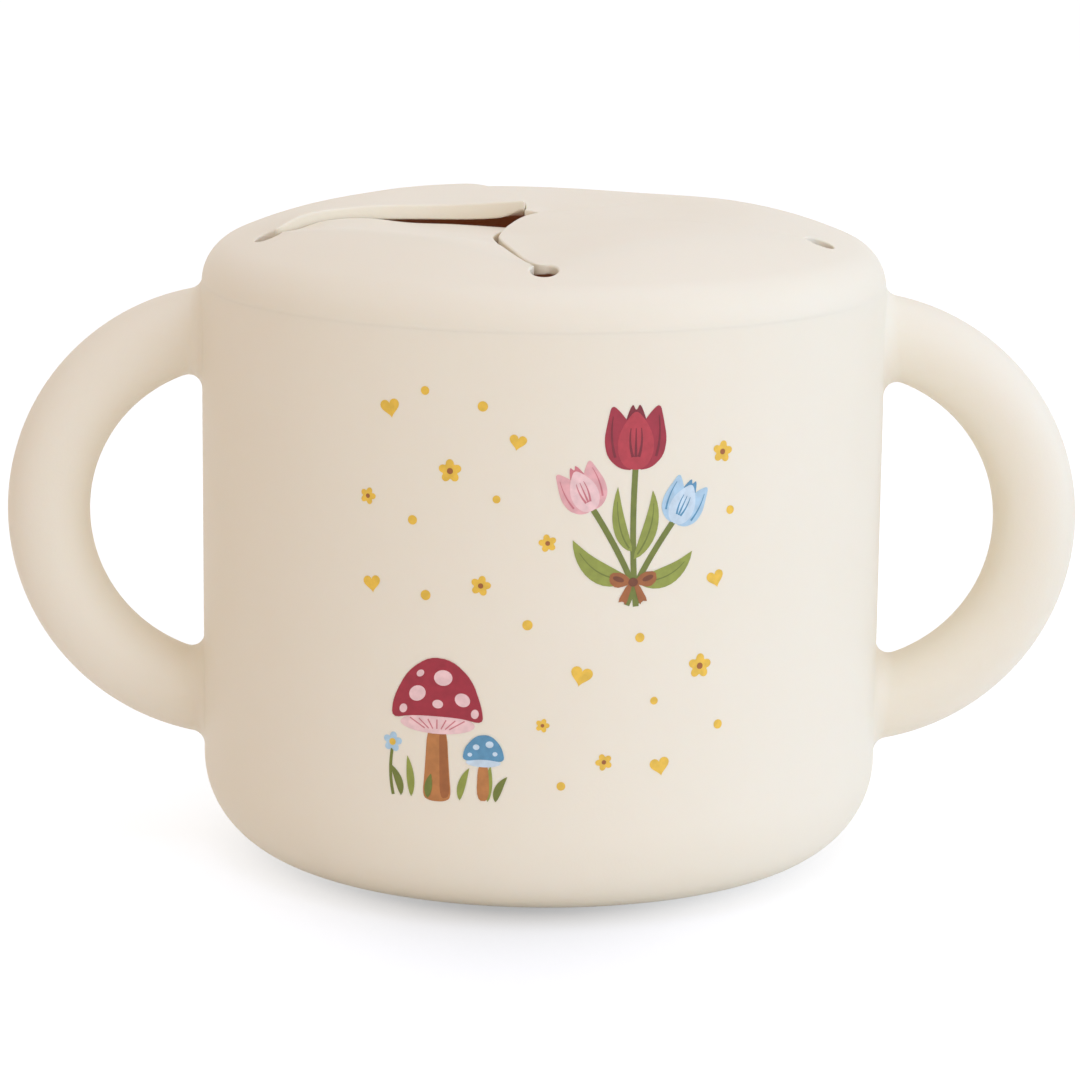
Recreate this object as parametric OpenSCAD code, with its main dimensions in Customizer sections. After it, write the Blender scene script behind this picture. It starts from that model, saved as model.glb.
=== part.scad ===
// Snack container for a toddler: a soft round cup with a loop handle on each side,
// and a domed press-in lid whose crown is cut by five curved slits into five flaps.
// A hand pushes in between the flaps, and they spring back and keep the snacks in.
//
// Lengths are in millimetres and angles in degrees. The origin is the centre of the
// base, +Z is up, +X points to the right of the front and +Y to the back.

/* [Cup] */
// Height of the whole container, to the top of the lid
total_h = 86; // [78:0.2:94]
// Outer diameter where the shoulder of the lid begins
cup_d = 90; // [80:0.5:100]
// How much smaller the outer diameter is at the base
cup_draft = 0.5; // [0:0.1:4]
// Thickness of the side wall
wall_t = 3; // [2:0.1:4]
// Thickness of the floor
floor_t = 4; // [3:0.1:6]
// Radius of the rounded bottom edge
bottom_r = 12.6; // [8:0.2:15]
// Diameter of the shallow recess under the floor
recess_d = 50; // [30:1:54]
// Depth of the shallow recess under the floor
recess_h = 0.8; // [0.4:0.1:1.2]
// Rounding of the rim's inner edge
lip_r = 0.8; // [0.4:0.1:1.2]

/* [Lid] */
// Radius of the lid's rounded shoulder
shoulder_r = 6.3; // [5:0.1:7]
// How far the shoulder's curve begins below the rim of the cup
shoulder_drop = 0.2; // [0:0.1:2]
// How far the dome rises above the top of the shoulder's curve
dome_rise = 3.9; // [2.5:0.1:5]
// Radius of the dome's curve between its level middle and the shoulder
dome_r = 52.8; // [40:0.2:60]
// Thickness of the dome and its flaps
dome_t = 2; // [1.6:0.1:2.4]
// How far the plug skirt reaches down into the cup
skirt_h = 9; // [6:0.5:14]
// Thickness of the plug skirt
skirt_t = 1.8; // [1.4:0.1:2.2]
// Number of sealing ribs round the skirt
rib_n = 2; // [1:1:3]
// How far a sealing rib stands out of the skirt
rib_h = 0.5; // [0.3:0.05:0.7]
// Radius of a sealing rib
rib_r = 0.8; // [0.7:0.05:1]
// Gap between the sealing ribs and the cup wall
seal_gap = 0.1; // [0.05:0.01:0.3]
// Fillet where the dome meets the skirt inside
inside_r = 0.8; // [0.4:0.1:1.2]
// Depth of the fine groove where lid and cup meet
seam_h = 0.25; // [0.1:0.05:0.4]

/* [Slits and flaps] */
// Distance of the round stop holes from the middle of the lid
hole_r = 37.4; // [33:0.2:37.8]
// Diameter of a stop hole
hole_d = 3.5; // [2.5:0.1:4]
// How far a slit bows out to one side
slit_bow = 6.2; // [5:0.1:8]
// Width of a slit
slit_w = 0.7; // [0.7:0.05:1.2]
// Distance of a flap's bending line from the middle of the lid
hinge_r = 26.2; // [23.5:0.1:26.8]
// Extra radius of a flap's rounded root, over what the dome's curve takes
root_extra = 0.35; // [0.3:0.05:0.5]
// Gap between a flap's root and its socket in the lid
root_gap = 0.2; // [0.1:0.05:0.3]
// How far the left front flap stands up at rest
front_left_a = -8; // [-14:0.5:5]
// How far the right front flap stands up at rest
front_right_a = -4; // [-14:0.5:5]
// How far the right flap stands up at rest
right_a = 0; // [-8:0.5:8]
// How far the back flap stands up at rest
back_a = -3; // [-8:0.5:8]
// How far the left flap stands up at rest
left_a = 0; // [-8:0.5:8]

/* [Handles] */
// Diameter of the handle's round bar
bar_d = 10.9; // [8:0.1:13]
// Height of the bar's middle where the loop's lower end meets the cup
loop_low_z = 19.6; // [18:0.2:24]
// How far the bar's middle lies below the rim where the upper end meets the cup
loop_drop = 6.4; // [6:0.1:12]
// How far the loop's centre lies inside the cup's side
loop_inset = 4.5; // [3:0.1:8]
// Fillet between bar and cup on the outside of the loop
fillet_out = 1.5; // [1:0.1:2]
// Fillet between bar and cup on the inside of the loop
fillet_in = 2.6; // [1.5:0.1:3]

/* [Hidden] */
cup_colour = [0.93, 0.89, 0.83];
lid_colour = [0.91, 0.87, 0.82];
round_fn = 180;
past = 1; // how far a cut runs past what it cuts

// Side wall: its slope, and its inner face as a radius at height z
cup_r = cup_d / 2;
shoulder_z = total_h - dome_rise - shoulder_r;
rim_z = shoulder_z + shoulder_drop;
draft_a = atan(cup_draft / 2 / shoulder_z);
base_x = cup_r - cup_draft / 2;
inner_base_x = base_x - wall_t / cos(draft_a);
function outer_x(z) = base_x + z * tan(draft_a);
function inner_x(z) = inner_base_x + z * tan(draft_a);

// Shoulder and dome: the dome is level in the middle, and its curve touches the shoulder's
shoulder_c = [cup_r - shoulder_r * cos(draft_a), shoulder_z];
dome_reach = sqrt(dome_rise * (2 * (dome_r - shoulder_r) - dome_rise));
dome_c = [shoulder_c.x - dome_reach, total_h - dome_r];
dome_edge_x = dome_c.x + dome_reach * dome_r / (dome_r - shoulder_r);
rim_x = shoulder_c.x + sqrt(pow(shoulder_r, 2) - pow(shoulder_drop, 2));

// Plug skirt
skirt_top_x = inner_x(rim_z) - seal_gap - rib_h;
skirt_in_x = skirt_top_x - skirt_t;
skirt_z = rim_z - skirt_h;
skirt_low_x = inner_x(skirt_z) - seal_gap - rib_h;
skirt_end_r = (skirt_low_x - skirt_in_x) / 2;
rib_pitch = skirt_h / (rib_n + 1);
under_r = dome_r - dome_t;
inside_c = [skirt_in_x - inside_r,
            dome_c.y + sqrt(pow(under_r - inside_r, 2) - pow(skirt_in_x - inside_r - dome_c.x, 2))];

// A slit is an arc from a stop hole to the middle. It is drawn with its hole on the left
// and turned so that one hole lies exactly in front.
flap_n = 5;
turn = 360 / flap_n;
first_turn = 90 - turn;
slit_r = (pow(hole_r / 2, 2) + pow(slit_bow, 2)) / (2 * slit_bow);
slit_c = [-hole_r / 2, slit_bow - slit_r];
next_slit_c = [slit_c.x * cos(turn) - slit_c.y * sin(turn), slit_c.x * sin(turn) + slit_c.y * cos(turn)];

// A flap bends about a straight line between its two slits. The line lies between the
// dome's height at its ends and at its middle.
flap_dir = 180 + turn / 2;
out_dir = [cos(flap_dir), sin(flap_dir)];
along_dir = [out_dir.y, -out_dir.x];
function crossing(c) =
    let (q = hinge_r * out_dir - c, b = q * along_dir)
    hinge_r * out_dir + (sqrt(b * b - q * q + slit_r * slit_r) - b) * along_dir;
function mid_z(p) = dome_c.y + sqrt(pow(dome_r - dome_t / 2, 2) - pow(max(0, norm(p) - dome_c.x), 2));
hinge_a = crossing(slit_c);
hinge_b = crossing(next_slit_c);
hinge_lift = (mid_z(hinge_r * out_dir) - (mid_z(hinge_a) + mid_z(hinge_b)) / 2) / 2;
hinge_from = [hinge_a.x, hinge_a.y, mid_z(hinge_a) + hinge_lift];
hinge_to = [hinge_b.x, hinge_b.y, mid_z(hinge_b) + hinge_lift];
hinge_len = norm(hinge_to - hinge_from);
hinge_dir = (hinge_to - hinge_from) / hinge_len;
root_r = hinge_lift + dome_t / 2 + root_extra;

// Handle: rings round the loop, closer together towards the cup, where the bar flares
bar_sides = 24;
half_rings = 20;
ring_crowding = 1.8;
end_sink = 3.4; // how far the bar's middle runs into the wall before it is trimmed
loop_x = cup_r - loop_inset;
loop_r = (rim_z - loop_drop - loop_low_z) / 2;
loop_z = loop_low_z + loop_r;
end_a = acos((loop_inset - end_sink) / loop_r);

// ---- Outlines, right half only, for turning round the axis ----

module bowl_outline(x0, z0, r, top_z) {
    c = [x0 + (z0 + r) * tan(draft_a) - r / cos(draft_a), z0 + r];
    polygon([[0, z0], [c.x, z0], c, [c.x + r * cos(draft_a), c.y - r * sin(draft_a)],
             [x0 + top_z * tan(draft_a), top_z], [0, top_z]]);
    translate(c) circle(r = r, $fn = round_fn);
}

// The dome down to low_z, sunk by the depth d, as far as the radius edge_x
module dome_outline(d, edge_x, low_z) {
    translate([0, low_z]) square([dome_c.x, total_h - d - low_z]);
    intersection() {
        translate(dome_c) circle(r = dome_r - d, $fn = 2 * round_fn);
        translate([dome_c.x, low_z]) square([edge_x - dome_c.x, total_h - low_z]);
    }
}

module outer_outline() {
    bowl_outline(base_x, 0, bottom_r, shoulder_z);
    translate(shoulder_c) circle(r = shoulder_r, $fn = round_fn);
    dome_outline(0, dome_edge_x, shoulder_z - past);
}

module seam_groove() {
    translate([rim_x, rim_z]) rotate(45) square(seam_h * sqrt(2), center = true);
}

module cup_outline() {
    difference() {
        intersection() {
            outer_outline();
            square([cup_d, rim_z]);
        }
        bowl_outline(inner_base_x, floor_t, bottom_r - wall_t, rim_z + past);
        translate([inner_x(rim_z), rim_z - lip_r]) difference() {
            translate([-past, 0]) square([past + lip_r, lip_r + past]);
            translate([lip_r, 0]) circle(r = lip_r, $fn = round_fn);
        }
        polygon([[0, -past], [recess_d / 2, -past], [recess_d / 2, 0],
                 [recess_d / 2 - recess_h, recess_h], [0, recess_h]]);
        seam_groove();
    }
}

module lid_hollow_outline() {
    dome_outline(dome_t, dome_c.x + (inside_c.x - dome_c.x) * under_r / (under_r - inside_r),
                 rim_z - past);
    translate([0, rim_z - past]) square([skirt_in_x, inside_c.y - rim_z + past]);
    translate(inside_c) circle(r = inside_r, $fn = round_fn);
}

module skirt_outline() {
    polygon([[skirt_in_x, skirt_z + skirt_end_r], [skirt_low_x, skirt_z + skirt_end_r],
             [skirt_top_x, rim_z], [skirt_top_x, rim_z + past], [skirt_in_x, rim_z + past]]);
    translate([skirt_in_x + skirt_end_r, skirt_z + skirt_end_r])
        circle(r = skirt_end_r, $fn = round_fn);
    for (i = [1 : rib_n])
        translate([inner_x(rim_z - i * rib_pitch) - seal_gap - rib_r, rim_z - i * rib_pitch])
            circle(r = rib_r, $fn = round_fn);
}

module lid_outline() {
    difference() {
        intersection() {
            outer_outline();
            translate([0, rim_z]) square([cup_d, total_h]);
        }
        lid_hollow_outline();
        seam_groove();
    }
    skirt_outline();
}

// ---- Slits and flaps, drawn for the slit with its hole on the left ----

module slit_plan() {
    intersection() {
        translate(slit_c) difference() {
            circle(r = slit_r + slit_w / 2, $fn = round_fn);
            circle(r = slit_r - slit_w / 2, $fn = round_fn);
        }
        translate([-hole_r, 0]) square([hole_r, slit_bow + slit_w]);
    }
    translate([-hole_r, 0]) circle(d = hole_d, $fn = round_fn);
}

module flap_plan(gap) {
    difference() {
        translate(slit_c) circle(r = slit_r - gap, $fn = round_fn);
        translate(next_slit_c) circle(r = slit_r + gap, $fn = round_fn);
    }
}

// Everything on the middle's side of the bending line, and a round bar along the line
module flap_reach(bar_r, end_gap) {
    rotate(flap_dir) translate([-cup_r, -cup_r, rim_z])
        cube([cup_r + hinge_r, cup_d, total_h - rim_z + past]);
    translate(hinge_from) rotate([0, acos(hinge_dir.z), atan2(hinge_dir.y, hinge_dir.x)])
        translate([0, 0, -2 * root_r])
            cylinder(r = bar_r, h = hinge_len + 2 * root_r + end_gap, $fn = round_fn);
}

module flap_space(gap, bar_r, end_gap) {
    intersection() {
        translate([0, 0, rim_z]) linear_extrude(height = total_h - rim_z + past) flap_plan(gap);
        flap_reach(bar_r, end_gap);
    }
}

// The flap number k, counted to the left round the lid from the left front one
module flap(k, rest_a) {
    rotate(first_turn + turn * k)
        translate(hinge_from) rotate(a = rest_a, v = hinge_dir) translate(-hinge_from)
            intersection() {
                rotate_extrude($fn = round_fn) lid_outline();
                flap_space(slit_w / 2, root_r, 0);
            }
}

// ---- Handles ----

// Fillet height over the bar for a point at distance d from the wall
function fillet_at(d, r) = d >= r ? 0 : d <= 0 ? r : r - sqrt(r * r - (r - d) * (r - d));

function wall_gap(p) = norm([p.x, p.y]) - outer_x(p.z);

// The flare grows until the fillet stands on the curved wall
function flare(p, dir, r, f, n) =
    n == 0 ? f : flare(p, dir, r, (f + fillet_at(wall_gap(p + f * dir), r)) / 2, n - 1);

function ring_angle(i) = let (s = 1 - abs(i) / half_rings) sign(i) * end_a * (1 - pow(s, ring_crowding));

function ring(a) = [
    for (k = [0 : bar_sides - 1])
        let (t = 360 * k / bar_sides,
             dir = [cos(t) * cos(a), sin(t), cos(t) * sin(a)],
             centre = [loop_x + loop_r * cos(a), 0, loop_z + loop_r * sin(a)],
             p = centre + bar_d / 2 * dir,
             r = (fillet_out + fillet_in) / 2 + (fillet_out - fillet_in) / 2 * cos(t))
        p + flare(p, dir, r, 0, 10) * dir
];

module handle() {
    n = bar_sides;
    rings = 2 * half_rings + 1;
    points = [for (i = [-half_rings : half_rings]) each ring(ring_angle(i))];
    sides = [for (i = [0 : rings - 2], k = [0 : n - 1])
        let (a = i * n + k, b = i * n + (k + 1) % n)
        each [[a, b, b + n], [a, b + n, a + n]]];
    first = [for (k = [n - 1 : -1 : 0]) k];
    last = [for (k = [0 : n - 1]) (rings - 1) * n + k];
    difference() {
        polyhedron(points = points, faces = concat(sides, [first, last]));
        rotate_extrude($fn = round_fn) outer_outline();
    }
}

// ---- The pieces ----

module cup_body() {
    color(cup_colour) rotate_extrude($fn = round_fn) cup_outline();
}

module handle_left() {
    color(cup_colour) mirror([1, 0, 0]) handle();
}

module handle_right() {
    color(cup_colour) handle();
}

module lid_ring() {
    color(lid_colour) difference() {
        rotate_extrude($fn = round_fn) lid_outline();
        for (k = [0 : flap_n - 1]) rotate(first_turn + turn * k) {
            translate([0, 0, rim_z]) linear_extrude(height = total_h - rim_z + past) slit_plan();
            flap_space(slit_w / 4, root_r + root_gap, root_gap);
        }
    }
}

module flap_front_left() {
    color(lid_colour) flap(0, front_left_a);
}

module flap_front_right() {
    color(lid_colour) flap(1, front_right_a);
}

module flap_right() {
    color(lid_colour) flap(2, right_a);
}

module flap_back() {
    color(lid_colour) flap(3, back_a);
}

module flap_left() {
    color(lid_colour) flap(4, left_a);
}

cup_body();
handle_left();
handle_right();
lid_ring();
flap_front_left();
flap_front_right();
flap_right();
flap_back();
flap_left();
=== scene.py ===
import math

import bmesh
import bpy
from mathutils import Matrix, Vector
from mathutils.geometry import delaunay_2d_cdt

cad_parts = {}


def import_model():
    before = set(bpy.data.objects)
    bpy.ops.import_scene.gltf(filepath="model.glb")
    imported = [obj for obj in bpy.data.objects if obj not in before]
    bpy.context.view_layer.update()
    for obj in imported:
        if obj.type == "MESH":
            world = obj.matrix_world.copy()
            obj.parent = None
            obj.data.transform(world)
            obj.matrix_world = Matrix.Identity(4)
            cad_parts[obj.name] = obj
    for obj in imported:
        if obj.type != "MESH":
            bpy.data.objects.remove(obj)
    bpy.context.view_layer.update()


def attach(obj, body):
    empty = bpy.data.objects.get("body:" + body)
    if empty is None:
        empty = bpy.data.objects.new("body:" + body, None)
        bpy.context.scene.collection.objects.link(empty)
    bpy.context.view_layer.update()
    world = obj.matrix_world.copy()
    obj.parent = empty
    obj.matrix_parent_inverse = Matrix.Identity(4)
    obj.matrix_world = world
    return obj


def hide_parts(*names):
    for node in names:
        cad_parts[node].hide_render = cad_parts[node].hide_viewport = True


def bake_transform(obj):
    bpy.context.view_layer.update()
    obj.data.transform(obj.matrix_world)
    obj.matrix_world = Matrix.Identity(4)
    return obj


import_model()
MM = 0.001

# ---- Sizes in millimetres, as in the part's source ----

TOTAL_H, CUP_R, CUP_DRAFT = 86.0, 45.0, 0.5
WALL_T, FLOOR_T, BOTTOM_R = 3.0, 4.0, 12.6
RECESS_R, RECESS_H, LIP_R = 25.0, 0.8, 0.8
SHOULDER_R, SHOULDER_DROP, DOME_RISE, DOME_R, DOME_T = 6.3, 0.2, 3.9, 52.8, 2.0
SKIRT_H, SKIRT_T, RIB_N, RIB_H, RIB_R, SEAL_GAP = 9.0, 1.8, 2, 0.5, 0.8, 0.1
INSIDE_R = 0.8
HOLE_R, HOLE_D, SLIT_BOW = 37.4, 3.5, 6.2
BAR_R, LOOP_LOW_Z, LOOP_DROP, LOOP_INSET = 5.45, 19.6, 6.4, 4.5
FILLET_OUT, FILLET_IN = 1.5, 2.6
FLAPS = ("front_left", "front_right", "right", "back", "left")

SHOULDER_Z = TOTAL_H - DOME_RISE - SHOULDER_R
RIM_Z = SHOULDER_Z + SHOULDER_DROP
DRAFT = math.atan(CUP_DRAFT / 2 / SHOULDER_Z)
BASE_X = CUP_R - CUP_DRAFT / 2
INNER_BASE_X = BASE_X - WALL_T / math.cos(DRAFT)
SHOULDER_CX = CUP_R - SHOULDER_R * math.cos(DRAFT)
DOME_REACH = math.sqrt(DOME_RISE * (2 * (DOME_R - SHOULDER_R) - DOME_RISE))
DOME_CX, DOME_CZ = SHOULDER_CX - DOME_REACH, TOTAL_H - DOME_R
DOME_EDGE_X = DOME_CX + DOME_REACH * DOME_R / (DOME_R - SHOULDER_R)
RIM_X = SHOULDER_CX + math.sqrt(SHOULDER_R ** 2 - SHOULDER_DROP ** 2)
UNDER_R = DOME_R - DOME_T


def outer_x(z):
    return BASE_X + z * math.tan(DRAFT)


def inner_x(z):
    return INNER_BASE_X + z * math.tan(DRAFT)


SKIRT_TOP_X = inner_x(RIM_Z) - SEAL_GAP - RIB_H
SKIRT_IN_X = SKIRT_TOP_X - SKIRT_T
SKIRT_Z = RIM_Z - SKIRT_H
SKIRT_LOW_X = inner_x(SKIRT_Z) - SEAL_GAP - RIB_H
SKIRT_END_R = (SKIRT_LOW_X - SKIRT_IN_X) / 2
INSIDE_CX = SKIRT_IN_X - INSIDE_R
INSIDE_CZ = DOME_CZ + math.sqrt((UNDER_R - INSIDE_R) ** 2 - (INSIDE_CX - DOME_CX) ** 2)
INSIDE_EDGE_X = DOME_CX + (INSIDE_CX - DOME_CX) * UNDER_R / (UNDER_R - INSIDE_R)


def top_z(r):
    return DOME_CZ + math.sqrt(DOME_R ** 2 - max(0.0, r - DOME_CX) ** 2)


def under_z(r):
    if r > INSIDE_EDGE_X:
        return INSIDE_CZ + math.sqrt(max(0.0, INSIDE_R ** 2 - (r - INSIDE_CX) ** 2))
    return DOME_CZ + math.sqrt(UNDER_R ** 2 - max(0.0, r - DOME_CX) ** 2)


# ---- Materials ----

CREAM, CREAM_WARM = (0.88, 0.815, 0.665), (0.87, 0.805, 0.65)
ROUGH_FROM, ROUGH_TO = 0.48, 0.57
# Sizes of the noise, in waves to the metre
CLOUD_SCALE, MATT_SCALE, GRAIN_SCALE, INK_SCALE = 38, 160, 2600, 900
SOFT_TOUCH = {"IOR": 1.42, "Specular IOR Level": 0.42, "Subsurface Weight": 0.14,
              "Subsurface Radius": (1.0, 0.62, 0.4), "Subsurface Scale": 0.0009}
INK = {"red": (0.36, 0.022, 0.04), "red_light": (0.47, 0.04, 0.055), "red_dark": (0.2, 0.012, 0.022),
       "pink": (0.8, 0.42, 0.42), "pink_light": (0.88, 0.6, 0.58), "rose": (0.62, 0.2, 0.22),
       "blue_light": (0.43, 0.62, 0.75), "blue_pale": (0.6, 0.73, 0.81), "blue": (0.11, 0.3, 0.46),
       "leaf": (0.29, 0.33, 0.055), "stem": (0.17, 0.2, 0.03), "brown": (0.36, 0.12, 0.03),
       "brown_light": (0.5, 0.2, 0.055), "brown_dark": (0.18, 0.05, 0.015), "yellow": (0.84, 0.53, 0.06)}


def new_material(name):
    """A material with nodes, and its node tree."""
    mat = bpy.data.materials.new(name)
    mat.use_nodes = True
    return mat, mat.node_tree


def noise(tree, scale, detail):
    """A noise value that stays on the piece."""
    place = tree.nodes.new("ShaderNodeTexCoord")
    texture = tree.nodes.new("ShaderNodeTexNoise")
    texture.inputs["Scale"].default_value = scale
    texture.inputs["Detail"].default_value = detail
    tree.links.new(place.outputs["Object"], texture.inputs["Vector"])
    return texture.outputs["Fac"]


def cloud_colour(tree, scale, spread, low, high):
    """A base colour that goes from low to high in clouds, softly where spread is large."""
    tone = tree.nodes.new("ShaderNodeValToRGB")
    first, last = tone.color_ramp.elements
    first.position, first.color = 0.5 - spread, (*low, 1)
    last.position, last.color = 0.5 + spread, (*high, 1)
    tree.links.new(noise(tree, scale, 3), tone.inputs["Fac"])
    tree.links.new(tone.outputs["Color"], tree.nodes["Principled BSDF"].inputs["Base Color"])


def silicone(name):
    """Soft-touch silicone: a fine matt grain, faint mould clouding and a little light passing in."""
    mat, tree = new_material(name)
    shader = tree.nodes["Principled BSDF"]
    cloud_colour(tree, CLOUD_SCALE, 0.2, CREAM_WARM, CREAM)
    matt = tree.nodes.new("ShaderNodeMapRange")
    matt.inputs["To Min"].default_value = ROUGH_FROM
    matt.inputs["To Max"].default_value = ROUGH_TO
    tree.links.new(noise(tree, MATT_SCALE, 4), matt.inputs["Value"])
    tree.links.new(matt.outputs["Result"], shader.inputs["Roughness"])
    grain = tree.nodes.new("ShaderNodeBump")
    grain.inputs["Strength"].default_value = 0.22
    grain.inputs["Distance"].default_value = 0.00006
    tree.links.new(noise(tree, GRAIN_SCALE, 4), grain.inputs["Height"])
    tree.links.new(grain.outputs["Normal"], shader.inputs["Normal"])
    for key, value in SOFT_TOUCH.items():
        shader.inputs[key].default_value = value
    return mat


def ink(colour):
    """Matt printing ink: slightly uneven in tone, as on silicone."""
    mat, tree = new_material("ink_" + colour)
    cloud_colour(tree, INK_SCALE, 0.15, (0.9 * c for c in INK[colour]), (1.06 * c for c in INK[colour]))
    tree.nodes["Principled BSDF"].inputs["Roughness"].default_value = 0.5
    return mat


cup_silicone = silicone("cup_silicone")
lid_silicone = silicone("lid_silicone")


# ---- Mesh tools, in millimetres ----

# The part of the lid's top that is drawn in plan reaches this far out; the rest is turned
PLATE_R = 40.3
# A vertex lies on the top if it is this near to it, in a face whose normal points up this much
ON_TOP, FACES_UP, NORMAL_STEP = 0.004, 0.4, 0.05
# Angle of a sharp edge in degrees, and the distance in metres at which vertices are one
SHARP_FROM, SAME_SPOT = 38.0, 2e-7


def normal_at(x, y, z, top):
    """The normal of the surface top(x, y) at a vertex, or None where the vertex isn't on it."""
    if math.hypot(x, y) > PLATE_R + ON_TOP or abs(z - top(x, y)) > ON_TOP:
        return None
    e = NORMAL_STEP
    slopes = (top(x - e, y) - top(x + e, y), top(x, y - e) - top(x, y + e))
    return tuple(Vector((*slopes, 2 * e)).normalized())


def normals_of(mesh, top):
    """Exact normals for the corners that lie on the surface top(x, y); the others keep their own."""
    found, normals = {}, [(0.0, 0.0, 0.0)] * len(mesh.loops)
    for face in mesh.polygons:
        if face.normal.z < FACES_UP:
            continue
        for i in face.loop_indices:
            v = mesh.loops[i].vertex_index
            if v not in found:
                found[v] = normal_at(*(c / MM for c in mesh.vertices[v].co), top)
            normals[i] = found[v] or normals[i]
    return normals


def piece(name, verts, faces, material, sharp=SHARP_FROM, merge=SAME_SPOT, top=None):
    """A shown object from vertices in millimetres and faces, shaded as top(x, y) where it lies on it."""
    mesh = bpy.data.meshes.new(name)
    mesh.from_pydata([(x * MM, y * MM, z * MM) for x, y, z in verts], [], faces)
    bm = bmesh.new()
    bm.from_mesh(mesh)
    if merge:
        bmesh.ops.remove_doubles(bm, verts=bm.verts, dist=merge)
    bmesh.ops.recalc_face_normals(bm, faces=bm.faces)
    bm.to_mesh(mesh)
    bm.free()
    mesh.polygons.foreach_set("use_smooth", [True] * len(mesh.polygons))
    mesh.set_sharp_from_angle(angle=math.radians(sharp))
    if top:
        mesh.normals_split_custom_set(normals_of(mesh, top))
    obj = bpy.data.objects.new(name, mesh)
    bpy.context.scene.collection.objects.link(obj)
    mesh.materials.append(material)
    return obj


def bow(cx, cz, r, start, stop, n):
    """Points on an arc of an outline, from one angle to another in degrees."""
    angles = (math.radians(start + (stop - start) * i / n) for i in range(n + 1))
    return [(cx + r * math.cos(a), cz + r * math.sin(a)) for a in angles]


def line(a, b, n):
    """Points from a to b, both included."""
    return [tuple(p + (q - p) * i / n for p, q in zip(a, b)) for i in range(n + 1)]


def circle(r, n):
    """n points of the plan round the axis."""
    return [(r * math.cos(math.tau * k / n), r * math.sin(math.tau * k / n)) for k in range(n)]


def turned(outline, n):
    """Vertices and faces of an outline (radius, height) turned round the axis, with n sides."""
    verts, rows, faces = [], [], []
    for r, z in outline:
        row = circle(r, n) if r else [(0, 0)]
        rows.append((len(verts), len(row)))
        verts += [(x, y, z) for x, y in row]
    for (a, na), (b, nb) in zip(rows, rows[1:]):
        for k in range(n):
            j = (k + 1) % n
            if na == 1 and nb > 1:
                faces.append((a, b + k, b + j))
            elif nb == 1 and na > 1:
                faces.append((a + k, b, a + j))
            elif na > 1:
                faces.append((a + k, b + k, b + j, a + j))
    return verts, faces


# ---- Cup ----

# Sides of the turned cup, its rows of points on the flat floors, and the one on the rim
CUP_SIDES, OUTER_ROW, MIDDLE_ROW, RIM_ROW = 288, 24, 12, 0.8
# The fine groove of the parting line, on the cup and on the lid: its height, the shares of it that
# its rounded edge goes in and up, how deep it is, where the plain wall starts, and the gap inside
SEAM_H = 0.012
SEAM_EDGE = ((0.15, 0.8), (0.55, 0.2))
SEAM_IN, SEAM_FROM, SEAM_GAP = 1.1 * SEAM_H, SEAM_H + 0.04, 0.002


def cup():
    """Vertices and faces of the cup: recess, flat foot, outer wall, rim, inner wall and floor."""
    draft, edge, rim_x = math.degrees(DRAFT), RECESS_R - RECESS_H, outer_x(RIM_Z)
    out_cx = BASE_X + BOTTOM_R * math.tan(DRAFT) - BOTTOM_R / math.cos(DRAFT)
    in_r = BOTTOM_R - WALL_T
    in_cx = INNER_BASE_X + (FLOOR_T + in_r) * math.tan(DRAFT) - in_r / math.cos(DRAFT)
    low = bow(out_cx, BOTTOM_R, BOTTOM_R, -90, -draft, 24)
    high = bow(in_cx, FLOOR_T + in_r, in_r, -draft, -90, 18)
    lip = bow(inner_x(RIM_Z) + LIP_R, RIM_Z - LIP_R, LIP_R, 90, 180, 6)
    outline = [(r, RECESS_H) for r in (0, MIDDLE_ROW, edge - 1)]
    outline += [(edge + x, RECESS_H - z) for x, z in ((-0.2, 0.03), (0.15, 0.2))]
    outline += [(RECESS_R + x, z) for x, z in ((-0.15, 0.2), (0.1, 0.04), (0.4, 0))]
    outline += low
    outline += line(low[-1], (outer_x(RIM_Z - SEAM_FROM), RIM_Z - SEAM_FROM), 34)[1:]
    outline += [(rim_x - x * SEAM_H, RIM_Z - z * SEAM_H) for x, z in SEAM_EDGE]
    outline += [(rim_x - SEAM_IN, RIM_Z), (rim_x - RIM_ROW, RIM_Z)] + lip
    outline += line(lip[-1], high[0], 30)[1:] + high[1:]
    outline += [(r, FLOOR_T) for r in (OUTER_ROW, MIDDLE_ROW, 0)]
    return turned(outline, CUP_SIDES)


cup_wall = piece("cup_moulding", *cup(), cup_silicone)
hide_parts("cup_body")
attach(cup_wall, "cup")


# ---- Handles ----

BAR_SIDES, LOOP_ROWS, FILLET_ROWS = 56, 34, 10
# How far the ends go into the wall, and the loop angle in radians that is surely inside it
END_DEPTH, INSIDE_ANGLE, HALVINGS = 1.6, 1.7, 40


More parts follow.
